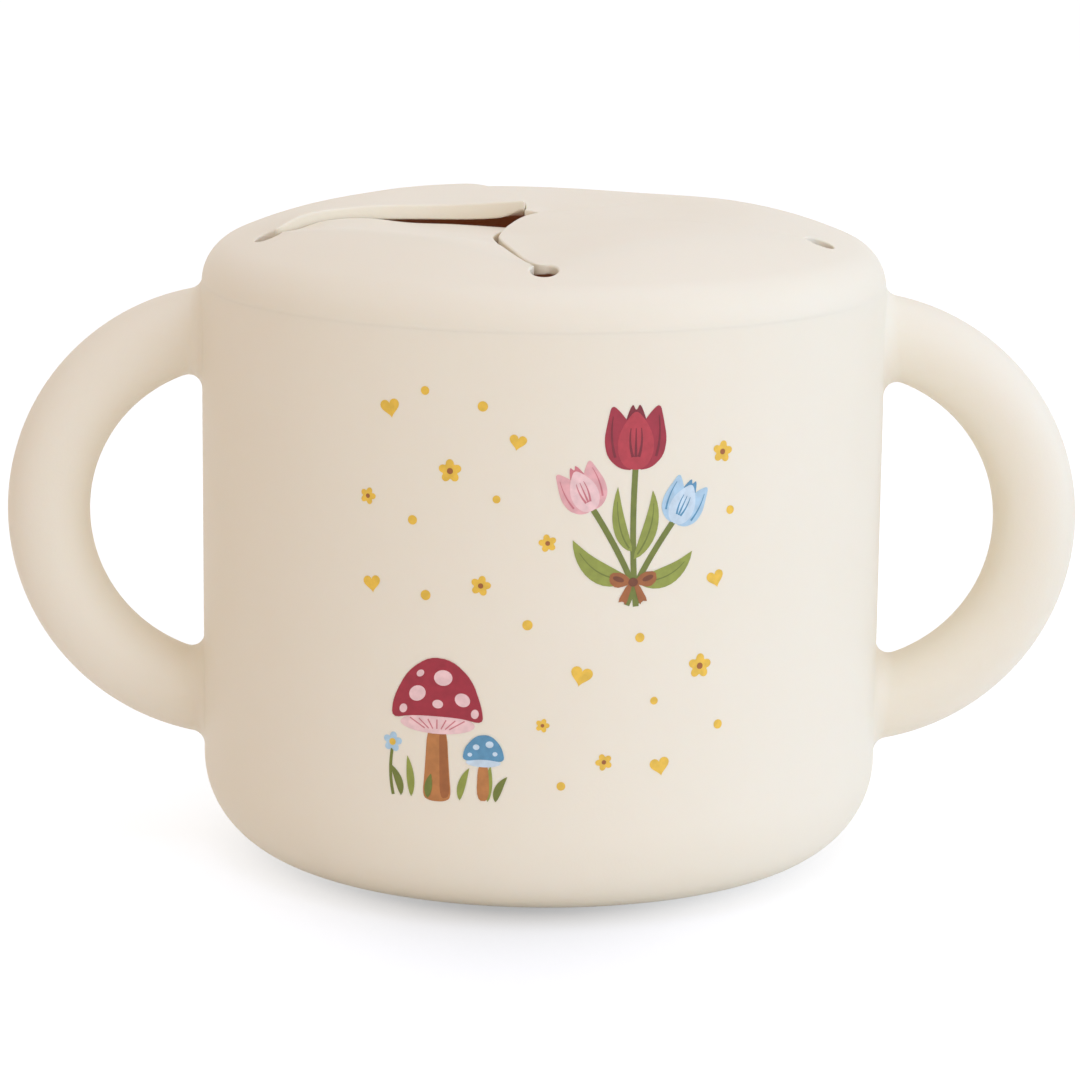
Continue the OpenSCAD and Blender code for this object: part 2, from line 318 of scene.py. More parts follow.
def handle(side):
    """A round bar on a half loop, with a fillet that runs out on the cup wall."""
    loop_r = (RIM_Z - LOOP_DROP - LOOP_LOW_Z) / 2
    loop_x, loop_z = CUP_R - LOOP_INSET, LOOP_LOW_Z + loop_r
    turns = [math.tau * k / BAR_SIDES for k in range(BAR_SIDES)]

    def at(a, t, f):
        """The point at angle a of the loop and angle t round the bar, f outside the bar."""
        reach = BAR_R + f
        out = loop_r + reach * math.cos(t)
        return loop_x + out * math.cos(a), reach * math.sin(t), loop_z + out * math.sin(a)

    def angle_at(t, f, d, sign):
        """The loop angle where the surface is d away from the wall, by halving."""
        near, far = 0.0, INSIDE_ANGLE
        for _ in range(HALVINGS):
            middle = (near + far) / 2
            x, y, z = at(sign * middle, t, f)
            if math.hypot(x, y) - outer_x(z) > d:
                near = middle
            else:
                far = middle
        return near

    def half(sign):
        """The rows of points from the loop's middle into the wall, below it (-1) or above it (1)."""
        fillet = []
        for i in range(FILLET_ROWS + 1):
            turn = math.pi / 2 * i / FILLET_ROWS
            row = []
            for t in turns:
                r = (FILLET_OUT + FILLET_IN) / 2 + (FILLET_OUT - FILLET_IN) / 2 * math.cos(t)
                f, d = r * (1 - math.cos(turn)), r * (1 - math.sin(turn))
                row.append((sign * angle_at(t, f, d, sign), t, f))
            fillet.append(row)
        plain = [[(a * j / LOOP_ROWS, t, 0.0) for a, t, _ in fillet[0]] for j in range(1, LOOP_ROWS)]
        rows = [[at(*spot) for spot in row] for row in plain + fillet]
        inner = []
        for x, y, z in rows[-1]:
            share = 1 - END_DEPTH / math.hypot(x, y)
            inner.append((x * share, y * share, z))
        return rows + [inner]

    rows = half(-1)[::-1] + [[at(0.0, t, 0.0) for t in turns]] + half(1)
    verts = [(side * x, y, z) for row in rows for x, y, z in row]
    faces, ends = [], (0, len(rows) - 1)
    for i in range(len(rows) - 1):
        for k in range(BAR_SIDES):
            a, b = i * BAR_SIDES + k, i * BAR_SIDES + (k + 1) % BAR_SIDES
            faces.append((a, b, b + BAR_SIDES, a + BAR_SIDES))
    for i in ends:
        x, z = (sum(p[c] for p in rows[i]) / BAR_SIDES for c in (0, 2))
        for k in range(BAR_SIDES):
            faces.append((i * BAR_SIDES + k, i * BAR_SIDES + (k + 1) % BAR_SIDES, len(verts)))
        verts.append((side * x, 0.0, z))
    return verts, faces


for name, side in (("handle_left", -1), ("handle_right", 1)):
    bar = piece(name + "_loop", *handle(side), cup_silicone, sharp=60)
    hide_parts(name)
    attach(bar, "cup")


# ---- Lid: plan of the slits, drawn for the slit with its hole on the left ----

TURN = math.tau / len(FLAPS)
FIRST = math.pi / 2 - TURN
SEAM_S = HOLE_R * math.cos(TURN / 2)
# Radius of the cut edges and the rows of faces round it, and the row of points that holds the
# surface flat beside them
EDGE_R, EDGE_STEPS, HOLD = 0.3, 4, 0.22
# The steps between points along a slit, at a slit's end, round a hole and along a root
SLIT_STEP, END_STEP, HOLE_STEP, ROOT_STEP = 0.75, 0.4, 0.3, 0.8
# The corners between a slit and its hole are rounded from this far on, in so many steps and no
# softer than this
BLUNT_FROM, BLUNT_STEPS, BLUNT_SOFT = 1.1, 7, 0.5
# The edges are sharper where the tips meet: the softness there, as a share of the rest's, and how
# far from the middle it is back to the full one
TIP_SOFT, TIP_REACH = 0.3, 3
# A sharp corner moves in by at most this many times what its edges do
CORNER_LIMIT = 1.9


def about(v, angle):
    """A place or direction of the plan, turned round the axis."""
    return Matrix.Rotation(angle, 2) @ v


HOLE_C = about(Vector((-HOLE_R, 0)), FIRST)
NEXT_HOLE_C = about(HOLE_C, TURN)
# Slit k lies on the clockwise side of flap k. Half of each slit's width, how round its cut edges
# are, as a share of EDGE_R (the closed slits hardly show), and where it ends
SLIT_GAP = [0.1, 0.33, 0.012, 0.012, 0.06]
SLIT_SOFT = [1.0, 1.0, 0.2, 0.2, 1.0]
SLIT_END = [Vector((0, 0))] * 4 + [Vector((-2.7, 0.75))]


def slit_arc(k):
    """Centre and radius of slit k: from its hole to its end, bowed out clockwise."""
    hole, end = about(HOLE_C, TURN * k), SLIT_END[k]
    half = (hole - end).length / 2
    r = (half ** 2 + SLIT_BOW ** 2) / (2 * SLIT_BOW)
    u = (end - hole).normalized()
    return (hole + end) / 2 + (r - SLIT_BOW) * Vector((u.y, -u.x)), r


def root_out(k):
    """Direction from the middle to the root of flap k."""
    return about(HOLE_C + NEXT_HOLE_C, TURN * k).normalized()


def crossing(c0, r0, c1, r1, near):
    """Where two circles cross, the point that is nearer to near."""
    d = (c1 - c0).length
    a = (r0 * r0 - r1 * r1 + d * d) / (2 * d)
    h = math.sqrt(r0 * r0 - a * a)
    u = (c1 - c0) / d
    n = Vector((-u.y, u.x))
    return min((c0 + a * u + h * n, c0 + a * u - h * n), key=lambda p: (p - near).length)


def sweep(c, p, q, step, inward, soft=1.0, far_way=False):
    """Points of a loop on the arc from p to q round c, q left out.

    A loop's point is (place, direction into the material, softness of the edge).
    """
    a, b = math.atan2(p.y - c.y, p.x - c.x), math.atan2(q.y - c.y, q.x - c.x)
    turn = (b - a + math.pi) % math.tau - math.pi
    if far_way:
        turn -= math.copysign(math.tau, turn)
    r = (p - c).length
    n = max(1, round(abs(turn) * r / step))
    points = []
    for i in range(n):
        u = Vector((math.cos(a + turn * i / n), math.sin(a + turn * i / n)))
        points.append((c + r * u, inward * u, soft))
    return points


def corner(loop, i):
    """Sets the inset of corner i between its two edges, so that both move in by the same amount."""
    before, here, after = loop[i - 1][0], loop[i][0], loop[(i + 1) % len(loop)][0]
    a, b = (here - before).normalized(), (after - here).normalized()
    na, nb = Vector((-a.y, a.x)), Vector((-b.y, b.x))
    mid = (na + nb).normalized()
    loop[i] = (here, mid / max(mid.dot(na), 1 / CORNER_LIMIT), loop[i][2])


def blunt(loop, i, first, last):
    """Rounds corner i of a loop, between its points first and last."""
    here, a, b = loop[i][0], i, i
    while a > first and (loop[a][0] - here).length < BLUNT_FROM:
        a -= 1
    while b < last and (loop[b][0] - here).length < BLUNT_FROM:
        b += 1
    p, q, bend = loop[a][0], loop[b][0], []
    for s in (j / BLUNT_STEPS for j in range(1, BLUNT_STEPS)):
        along = ((1 - s) * (here - p) + s * (q - here)).normalized()
        spot = (1 - s) ** 2 * p + 2 * s * (1 - s) * here + s * s * q
        soft = min(loop[a][2] + (loop[b][2] - loop[a][2]) * s, BLUNT_SOFT)
        bend.append((spot, Vector((-along.y, along.x)), soft))
    loop[a + 1:b] = bend


def chord(k):
    """Points on the root line of flap k between its two holes, and the line's direction."""
    u = (NEXT_HOLE_C - HOLE_C).normalized()
    p, q = HOLE_C + HOLE_D / 2 * u, NEXT_HOLE_C - HOLE_D / 2 * u
    n = round((q - p).length / ROOT_STEP)
    return [about(p + (q - p) * i / n, TURN * k) for i in range(n + 1)], about(u, TURN * k)


def smooth(t):
    """Goes from 0 to 1 with t, with no kink."""
    t = min(1.0, max(0.0, t))
    return t * t * (3 - 2 * t)


def flap_loop(k):
    """The outline of flap k, against the clock from its tip along its clockwise side."""
    zero, hole_r = Vector((0, 0)), HOLE_D / 2
    following, third = (k + 1) % len(FLAPS), (k + 2) % len(FLAPS)
    (c_in, r_in), (c_out, r_out) = slit_arc(k), slit_arc(following)
    r_in, r_out = r_in - SLIT_GAP[k], r_out + SLIT_GAP[following]
    hole, next_hole = about(HOLE_C, TURN * k), about(NEXT_HOLE_C, TURN * k)
    # The slits come to their holes from inside, so the crossing there is the one nearer the middle
    at_hole = crossing(c_in, r_in, hole, hole_r, hole * 0.9)
    at_next = crossing(c_out, r_out, next_hole, hole_r, next_hole * 0.9)
    seam, u = chord(k)
    tip = far = crossing(c_in, r_in, c_out, r_out, SLIT_END[k])
    end = []
    if SLIT_END[following].length:
        # The next slit ends beside the middle, on the slit after it
        c_end, r_end = slit_arc(third)
        r_end += SLIT_GAP[third]
        tip = crossing(c_in, r_in, c_end, r_end, zero)
        far = crossing(c_out, r_out, c_end, r_end, SLIT_END[following])
        end = sweep(c_end, far, tip, END_STEP, 1, SLIT_SOFT[third])
    loop = sweep(c_in, tip, at_hole, SLIT_STEP, -1, SLIT_SOFT[k])
    hole_at = len(loop)
    loop += sweep(hole, at_hole, seam[0], HOLE_STEP, 1)
    seam_at = len(loop)
    loop += [(seam[0], u, 1.0)] + [(p, zero, 1.0) for p in seam[1:-1]] + [(seam[-1], -u, 1.0)]
    seam_end = len(loop)
    loop += sweep(next_hole, seam[-1], at_next, HOLE_STEP, 1)[1:]
    next_at = len(loop)
    loop += sweep(c_out, at_next, far, SLIT_STEP, 1, SLIT_SOFT[following])
    if end:
        loop += end
        corner(loop, len(loop) - len(end))
    loop = [(p, d, soft * (TIP_SOFT + (1 - TIP_SOFT) * smooth(p.length / TIP_REACH))) for p, d, soft in loop]
    corner(loop, 0)
    blunt(loop, next_at, seam_end, len(loop) - 1)
    blunt(loop, hole_at, 0, seam_at - 1)
    return loop


def ring_loop():
    """The lid ring's inner outline: chords at the flaps' roots and the outer parts of the holes."""
    seam, u = chord(0)
    base = [(seam[0], u)] + [(p, Vector((0, 0))) for p in seam[1:-1]] + [(seam[-1], -u)]
    round_hole = sweep(NEXT_HOLE_C, seam[-1], about(seam[0], TURN), HOLE_STEP, 1, far_way=True)
    base += [point[:2] for point in round_hole[1:]]
    return [(about(p, TURN * k), about(d, TURN * k), 1.0) for k in range(len(FLAPS)) for p, d in base]


# ---- Curved plates ----

# Distance of the points in a plate's plan, and its shares between rows and from an outline
RING_PITCH, FLAP_PITCH, ROW_SHARE, CLEAR_SHARE = 1.7, 1.6, 0.866, 0.62
# Sine of the angle to the outline under which an inset direction counts as along it
ALONG = 0.05


def inside(x, y, loop):
    """Even-odd test of a point against a closed outline of (x, y)."""
    odd = False
    for (ax, ay), (bx, by) in zip(loop, loop[1:] + loop[:1]):
        if (ay > y) != (by > y) and x < (bx - ax) * (y - ay) / (by - ay) + ax:
            odd = not odd
    return odd


def sheet_faces(loops, held, clear, pitch):
    """Triangles of the plan between the loops, as (points, faces); the loops' points come first."""
    plan = [p for loop in loops for p in loop]
    edges, start = [], 0
    for loop in loops:
        edges += [(start + i, start + (i + 1) % len(loop)) for i in range(len(loop))]
        start += len(loop)
    near = plan + held
    xs = [p[0] for p in plan]
    ys = [p[1] for p in plan]
    grid = []
    for j in range(int((max(ys) - min(ys)) / (pitch * ROW_SHARE)) + 1):
        y = min(ys) + (j + 0.5) * pitch * ROW_SHARE
        x = min(xs) + (0.5 if j % 2 else 0.0) * pitch
        while x < max(xs):
            if sum(inside(x, y, loop) for loop in loops) % 2:
                if min((x - p[0]) ** 2 + (y - p[1]) ** 2 for p in near) > clear ** 2:
                    grid.append((x, y))
            x += pitch
    points = plan + held + grid
    out = delaunay_2d_cdt([Vector(p) for p in points], edges, [], 0, 1e-7)
    assert len(out[0]) == len(points)
    faces = []
    for f in out[2]:
        cx, cy = (sum(points[i][c] for i in f) / 3 for c in (0, 1))
        if sum(inside(cx, cy, loop) for loop in loops) % 2:
            faces.append(tuple(f))
    return points, faces


def across(loop, i):
    """Whether the inset of point i leads off the outline, not along it as at the ends of a root."""
    p, d = loop[i][:2]
    ways = ((loop[j][0] - p).normalized() for j in (i - 1, (i + 1) % len(loop)))
    return d.length > 0 and all(abs(w.x * d.y - w.y * d.x) > ALONG for w in ways)


def slab(loop, pitch, top_circle=None, under_circle=None, under_edge=EDGE_R):
    """A curved plate with rounded edges: the dome on top, its hollow below, walls round the loop."""
    verts, faces, last_rows = [], [], []
    sides = ((top_z, -1, EDGE_R, top_circle), (under_z, 1, under_edge, under_circle))
    for height, sign, radius, outer in sides:
        rim = [tuple(p + radius * soft * d) for p, d, soft in loop]
        held = []
        if radius == EDGE_R:
            spots = (loop[i] for i in range(len(loop)) if across(loop, i))
            held = [tuple(p + (radius * soft + HOLD) * d) for p, d, soft in spots]
        loops = [rim, outer] if outer else [rim]
        points, triangles = sheet_faces(loops, held, CLEAR_SHARE * pitch, pitch)
        base = len(verts)
        verts += [(x, y, height(math.hypot(x, y))) for x, y in points]
        faces += [tuple(base + i for i in f) for f in triangles]
        row = [base + i for i in range(len(loop))]
        for step in range(1, EDGE_STEPS + 1):
            turn = math.pi / 2 * step / EDGE_STEPS
            below = []
            for p, d, soft in loop:
                q = p + radius * soft * (1 - math.sin(turn)) * d
                below.append(len(verts))
                verts.append((q.x, q.y, height(q.length) + sign * radius * soft * (1 - math.cos(turn))))
            faces += [(row[i], row[i - 1], below[i - 1], below[i]) for i in range(len(loop))]
            row = below
        last_rows.append(row)
    a, b = last_rows
    faces += [(a[i], a[i - 1], b[i - 1], b[i]) for i in range(len(loop))]
    return verts, faces


# ---- How the soft lid rests ----

# It bends above this height, fully from so much higher on
BENDS_FROM, BENDS_OVER = 78.5, 2.5
# Over this distance from its root, a flap goes over from the ring's rest to its own
ROOT_OVER = 2.5
# Spots on the lid, as middle, spread and depth: where all of it has sunk, where the flap in front
# of the open slit has, and where the left flap's edge and the lid behind its hole stand up
DIPS = ((-1.5, -30.5, 5.5, 5.5, 0.55), (13.0, 27.0, 16.0, 9.0, 0.8))
OPEN_DIP = (-31.0, -9.0, 4.5, 4.5, 0.1)
LIFT = (-31.6, -6.6, 3.4, 4.2, -0.62)
# Spots where the lid is thicker (or thinner, below 0): near the left flap's tip, at the tip itself
# and at the front hole
THICKER = ((-7.2, -3.4, 3.6, 3.6, 0.6), (-2.6, 0.4, 1.5, 1.5, -1.0), (0.0, -37.4, 2.6, 2.6, -1.0))
# How far each flap has sunk along its two slits, 0, 6, 12, 18, 24 and 30 mm (steps of KNOT) from
# the middle: first along the slit on its clockwise side, then along the other one
KNOT = 6.0
LOWERED = {
    "front_left": ((3.3, 3.15, 2.85, 2.55, 1.58, 0.85), (3.3, 2.7, 2.1, 1.8, 1.2, 0.5)),
    "front_right": ((0.75, 0.8, 1.3, 1.6, 1.1, 0.45), (0.7, 0.55, 0.4, 0.3, 0.2, 0.0)),
    "right": ((0.7, 0.55, 0.4, 0.3, 0.2, 0.0), (1.15, 0.62, 0.5, 0.4, 0.2, 0.0)),
    "back": ((1.15, 0.62, 0.5, 0.4, 0.2, 0.0), (0.7, 0.7, 0.65, 0.6, 0.45, 0.15)),
    "left": ((-0.8, 0.15, 0.12, -0.1, -0.3, -0.2), (-0.8, -0.15, 0.25, 0.25, 0.1, 0.0)),
}


def between(values, r):
    """A smooth curve through values that lie KNOT apart."""
    x = min(max(r / KNOT, 0.0), len(values) - 1.001)
    i, f = int(x), x - int(x)
    a, b, c, d = (values[min(max(j, 0), len(values) - 1)] for j in (i - 1, i, i + 1, i + 2))
    return b + 0.5 * f * (c - a + f * (2 * a - 5 * b + 4 * c - d + f * (3 * (b - c) + d - a)))


def from_root(x, y, k):
    """How far a point of the plan lies inside the root of flap k."""
    return SEAM_S - Vector((x, y)).dot(root_out(k))


def lowered(x, y, k):
    """How far flap k has bent down at a point of its plan."""
    p = Vector((x, y))
    (c1, r1), (c2, r2) = slit_arc(k), slit_arc((k + 1) % len(FLAPS))
    d1, d2 = max(0.0, r1 - (p - c1).length), max(0.0, (p - c2).length - r2)
    share = smooth(d1 / (d1 + d2)) if d1 + d2 > 1e-6 else 0.5
    first, other = (between(values, p.length) for values in LOWERED[FLAPS[k]])
    return smooth(from_root(x, y, k) / KNOT) * (first + (other - first) * share)


def hollow(x, y, spot):
    """The depth of a spot at a point of the plan."""
    cx, cy, sx, sy, depth = spot
    return depth * math.exp(-((x - cx) / sx) ** 2 / 2 - ((y - cy) / sy) ** 2 / 2)


def sunk(x, y, k=None):
    """How far the lid has sunk at a point of its plan, on flap k or on the ring."""
    drop, lift = sum(hollow(x, y, spot) for spot in DIPS), hollow(x, y, LIFT)
    if k is None:
        return drop + lift
    drop += lowered(x, y, k)
    if FLAPS[k] == "left":
        return drop + lift
    own = smooth(from_root(x, y, k) / ROOT_OVER)
    if FLAPS[k] == "front_left":
        drop += own * hollow(x, y, OPEN_DIP)
    return drop + (1 - own) * lift


def at_rest(verts, k=None):
    """The lid's vertices as they rest, on flap k or on the ring."""
    resting = []
    for x, y, z in verts:
        low = sunk(x, y, k)
        if z < top_z(math.hypot(x, y)) - DOME_T / 2:
            low += sum(hollow(x, y, spot) for spot in THICKER)
        resting.append((x, y, z - low * smooth((z - BENDS_FROM) / BENDS_OVER)))
    return resting


def lid_top(k=None):
    """The height of the lid's top over its plan, on flap k or on the ring."""
    return lambda x, y: at_rest([(x, y, top_z(math.hypot(x, y)))], k)[0][2]


# ---- Lid ring ----

# The ring's edges below are almost sharp, and its plan part reaches this far out there
LID_SIDES, UNDER_PLATE_R, UNDER_EDGE = 300, 39.36, 0.06


def lid_ring():
    """The lid without its flaps: the plate round them, the shoulder, and the skirt with its ribs."""
    circles = (circle(r, LID_SIDES) for r in (PLATE_R, UNDER_PLATE_R))
    verts, faces = slab(ring_loop(), RING_PITCH, *circles, under_edge=UNDER_EDGE)
    outline = [(r, top_z(r)) for r in (PLATE_R, (PLATE_R + DOME_EDGE_X) / 2)]
    tilt = math.degrees(math.asin((DOME_EDGE_X - DOME_CX) / DOME_R))
    shoulder_end = math.degrees(math.asin((SHOULDER_DROP + SEAM_FROM) / SHOULDER_R))
    outline += bow(SHOULDER_CX, SHOULDER_Z, SHOULDER_R, 90 - tilt, shoulder_end, 20)
    outline += [(RIM_X - x * SEAM_H, RIM_Z + z * SEAM_H) for x, z in SEAM_EDGE]
    outline.append((RIM_X - SEAM_IN, RIM_Z + SEAM_GAP))
    # The root of the skirt has a small fillet
    outline += [(SKIRT_TOP_X + x, RIM_Z + z) for x, z in ((0.35, SEAM_GAP), (0.08, -0.06), (0, -0.3))]
    for i in range(1, RIB_N + 1):
        z = RIM_Z - i * SKIRT_H / (RIB_N + 1)
        foot = math.degrees(math.acos((RIB_R - RIB_H) / RIB_R))
        outline += bow(inner_x(z) - SEAL_GAP - RIB_R, z, RIB_R, foot, -foot, 10)
    outline += bow(SKIRT_IN_X + SKIRT_END_R, SKIRT_Z + SKIRT_END_R, SKIRT_END_R, 0, -180, 12)
    outline += line((SKIRT_IN_X, SKIRT_Z + SKIRT_END_R), (SKIRT_IN_X, INSIDE_CZ), 6)[1:]
    inner_end = math.degrees(math.acos((UNDER_PLATE_R - INSIDE_CX) / INSIDE_R))
    outline += bow(INSIDE_CX, INSIDE_CZ, INSIDE_R, 0, inner_end, 5)[1:]
    more, rest = turned(outline, LID_SIDES)
    faces += [tuple(len(verts) + i for i in f) for f in rest]
    return verts + more, faces


ring_verts, ring_faces = lid_ring()
ring = piece("lid_moulding", at_rest(ring_verts), ring_faces, lid_silicone, top=lid_top())
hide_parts("lid_ring")
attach(ring, "lid")


# ---- Flaps ----

for k, side in enumerate(FLAPS):
    verts, faces = slab(flap_loop(k), FLAP_PITCH)
    obj = piece(side + "_flap_moulding", at_rest(verts, k), faces, lid_silicone, top=lid_top(k))
    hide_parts("flap_" + side)
    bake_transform(obj)


# ---- Print on the front of the cup: a bunch of tulips, two mushrooms and small yellow shapes ----

CURVE_N, OVAL_N, HEART_N, PETALS, PETAL_N = 12, 26, 30, 5, 9
# How full a leaf is, and the share of its length where it is widest, as powers
LEAF_FULL, LEAF_WIDEST = 0.8, 0.85
# The height of a print's first level and of each further one, how far it reaches into the wall,
# and the distance of its points from each other and from an outline
INK_H, LEVEL_H, INK_DEPTH = 0.03, 0.012, 0.05
PRINT_PITCH, PRINT_CLEAR = 0.9, 0.45


def placed(shape, cx, cy, size=1.0, lean=0.0):
    """An outline turned by lean degrees, sized and moved to its place."""
    c, s = math.cos(math.radians(lean)) * size, math.sin(math.radians(lean)) * size
    return [(cx + c * x - s * y, cy + s * x + c * y) for x, y in shape]


def moved(art, cx, cy, size=1.0, lean=0.0):
    """The same for a list of (outline, colour, level)."""
    return [(placed(shape, cx, cy, size, lean), colour, level) for shape, colour, level in art]


def rounded(shape, times=2):
    """Cuts the corners of a closed outline again and again."""
    for _ in range(times):
        shape = [(a[0] + (b[0] - a[0]) * f, a[1] + (b[1] - a[1]) * f)
                 for a, b in zip(shape, shape[1:] + shape[:1]) for f in (0.22, 0.78)]
    return shape


def curve(a, b, c):
    """Points on a bow from a to c that b pulls on."""
    return [tuple((1 - t) ** 2 * p + 2 * t * (1 - t) * q + t * t * r for p, q, r in zip(a, b, c))
            for t in (i / CURVE_N for i in range(CURVE_N + 1))]


def aside(a, b, h):
    """The step of length h to the left of the way from a to b."""
    d = math.hypot(b[0] - a[0], b[1] - a[1])
    return -(b[1] - a[1]) / d * h, (b[0] - a[0]) / d * h


def stroke(path, width, end=1.0):
    """A band along a path, whose width goes to the share end of it."""
    left, right, last = [], [], len(path) - 1
    for i, (x, y) in enumerate(path):
        h = width / 2 * (1 + (end - 1) * i / last)
        dx, dy = aside(path[max(i - 1, 0)], path[min(i + 1, last)], h)
        left.append((x + dx, y + dy))
        right.append((x - dx, y - dy))
    return left + right[::-1]


def leaf(path, width):
    """A leaf along a path, widest before its middle."""
    left, right, last = [], [], len(path) - 1
    for i in range(1, last):
        h = width / 2 * math.sin(math.pi * (i / last) ** LEAF_WIDEST) ** LEAF_FULL
        (x, y), (dx, dy) = path[i], aside(path[i - 1], path[i + 1], h)
        left.append((x + dx, y + dy))
        right.append((x - dx, y - dy))
    return [path[0]] + right + [path[-1]] + left[::-1]


def oval(cx, cy, rx, ry, lean=0.0):
    angles = (math.tau * i / OVAL_N for i in range(OVAL_N))
    return placed([(rx * math.cos(a), ry * math.sin(a)) for a in angles], cx, cy, lean=lean)


def heart(cx, cy, size, lean):
    pts = []
    for i in range(HEART_N):
        a = math.tau * i / HEART_N
        y = (13 * math.cos(a) - 5 * math.cos(2 * a) - 2 * math.cos(3 * a) - math.cos(4 * a)) / 32
        pts.append((math.sin(a) ** 3 * 0.5, y))
    return placed(pts, cx, cy, size, lean)


def blossom(cx, cy, size, lean):
    pts = []
    for i in range(PETALS * PETAL_N):
        a = math.tau * i / (PETALS * PETAL_N)
        r = 0.5 * (0.55 + 0.45 * abs(math.cos(PETALS * a / 2)) ** 0.8)
        pts.append((r * math.cos(a), r * math.sin(a)))
    return placed(pts, cx, cy, size, lean)


# The petals of a bloom 1 high: the right one of two at the sides, one in front, and those behind
SIDE_PETAL = [(0, 0), (0.24, 0.03), (0.42, 0.2), (0.47, 0.45), (0.42, 0.72), (0.36, 0.98), (0.2, 0.83),
              (0.06, 0.62)]
FRONT_PETAL = [(0, 0), (0.17, 0.06), (0.27, 0.25), (0.27, 0.48), (0.17, 0.7), (0, 0.9),
               (-0.17, 0.7), (-0.27, 0.48), (-0.27, 0.25), (-0.17, 0.06)]
BACK_PETALS = [(0.02, 0.3), (0.2, 0.6), (0.06, 1.0), (0, 0.86), (-0.06, 1.0), (-0.2, 0.6)]


def tulip(cx, cy, size, lean, outer, inner, mark):
    """A bloom on its stem's end, in the colours of its outer and inner petals and its fine marks."""
    art = [(rounded(BACK_PETALS), mark, 1), (rounded(FRONT_PETAL), inner, 3)]
    for sign in (1, -1):
        art.append((rounded([(sign * x, y) for x, y in SIDE_PETAL]), outer, 2))
    for x in (-0.11, 0.0, 0.11):
        art.append((stroke(curve((x * 0.4, 0.2), (x, 0.4), (x * 0.7, 0.62)), 0.045, 0.3), mark, 4))
    for x in (-0.34, 0.34):
        art.append((stroke(curve((x * 0.9, 0.2), (x * 1.15, 0.5), (x, 0.8)), 0.04, 0.3), mark, 4))
    return moved(art, cx, cy, size, lean)


# The bunch: its stems, its leaves with their widths, and the right half of its ribbon's bow
STEMS = (((0.5, 0), (-0.3, 8), (0.2, 17.5)), ((1.0, 0.4), (-1.0, 6), (-5.2, 12.6)),
         ((-0.7, 0.2), (1.2, 5), (5.3, 10.6)))
LEAVES = ((((-0.3, 3.6), (-5.2, 3.2), (-7.6, 8.6)), 2.7), (((0.4, 3.4), (5.0, 2.4), (7.9, 6.6)), 2.5),
          (((0.1, 6.0), (3.2, 9.6), (2.5, 14.6)), 1.9), (((-0.1, 7.0), (-2.4, 9.4), (-2.0, 15.2)), 1.7))
RIBBON_LOOP = [(0, 0), (1.3, 1.25), (2.9, 1.3), (3.1, 0.1), (2.2, -0.7), (1.0, -0.45)]
RIBBON_TAIL = [(0, 0), (0.7, -0.2), (2.0, -2.5), (1.2, -2.4), (0.9, -3.0)]
TIED_X, TIED_Y = 0.1, 3.1


def tulip_bunch(cx, cy):
    """Three tulips tied with a ribbon, 17 wide and 26 high, from the end of the stems up."""
    art = [(stroke(curve(*stem), 0.75), "stem", 1) for stem in STEMS]
    for bent, width in LEAVES:
        path = curve(*bent)
        art.append((leaf(path, width), "leaf", 2))
        art.append((stroke(path[1:-2], 0.22, 0.4), "stem", 3))
    art += tulip(0.2, 17.2, 8.6, 0, "red", "red_light", "red_dark")
    art += tulip(-5.2, 12.2, 6.4, 24, "pink", "pink_light", "rose")
    art += tulip(5.4, 10.2, 6.2, -26, "blue_light", "blue_pale", "blue")
    ribbon = [(oval(0, 0, 0.62, 0.55), "brown_dark", 7)]
    for sign in (-1, 1):
        for shape, level in ((RIBBON_LOOP, 5), (RIBBON_TAIL, 4)):
            ribbon.append((rounded([(sign * x, y) for x, y in shape], 1), "brown", level))
        ribbon.append((oval(sign * 1.9, 0.45, 0.75, 0.33, sign * 20), "brown_dark", 6))
    return moved(art + moved(ribbon, TIED_X, TIED_Y), cx, cy)


# The mushrooms: blades of grass as place, lean and length, the longer ones paler; the outlines of
# the large one and the spots on its cap, as place, half sizes and lean; and the same of the small one
BLADES = ((-5.8, 22, 4.2), (-4.4, 6, 5.2), (2.0, -16, 4.4), (6.6, -24, 3.6), (5.6, -4, 4.6), (-2.2, -8, 3.2))
PALE_FROM = 4.3
BIG_X, SMALL_X, FLOWER_X = -1.0, 5.0, -7.0
BIG_FOOT = [(-1.9, 0.2), (-1.6, 3.5), (-1.25, 9.5), (1.25, 9.5), (1.6, 3.5), (1.9, 0.2), (0.9, -0.35),
            (-0.9, -0.35)]
FOOT_SHADE = [(0.4, 0.0), (0.35, 5.0), (0.3, 9.0), (1.2, 9.0), (1.5, 3.5), (1.75, 0.3)]
BIG_CAP = [(-6.3, 9.9), (-6.0, 12.6), (-4.0, 16.2), (-1.0, 18.2), (2.0, 17.9), (4.6, 15.6), (5.9, 12.0),
           (6.1, 9.9), (3.0, 10.6), (-3.2, 10.6)]
CAP_SHARE = 0.98
BIG_SPOTS = ((-3.6, 13.4, 1.15, 0.95, 30), (-0.2, 15.6, 1.2, 1.0, 5), (2.3, 12.9, 1.0, 0.85, -20),
             (-0.9, 12.2, 0.7, 0.55, 0), (-3.2, 16.0, 0.55, 0.4, 35), (-5.5, 11.3, 0.6, 0.5, 60),
             (3.9, 11.2, 0.5, 0.6, -10))
GILLS = (-3.6, -2.4, -1.2, 0.0, 1.2, 2.4, 3.6)
SMALL_FOOT = [(-0.85, 0.1), (-0.65, 5.0), (0.65, 5.0), (0.85, 0.1)]
SMALL_CAP = [(-2.7, 5.1), (-2.4, 6.9), (-0.9, 8.5), (0.9, 8.6), (2.3, 7.2), (2.8, 5.1), (0, 5.5)]
SMALL_SPOTS = ((-0.9, 7.0, 0.42), (0.8, 7.4, 0.5), (1.5, 6.2, 0.32), (-1.7, 6.0, 0.3))


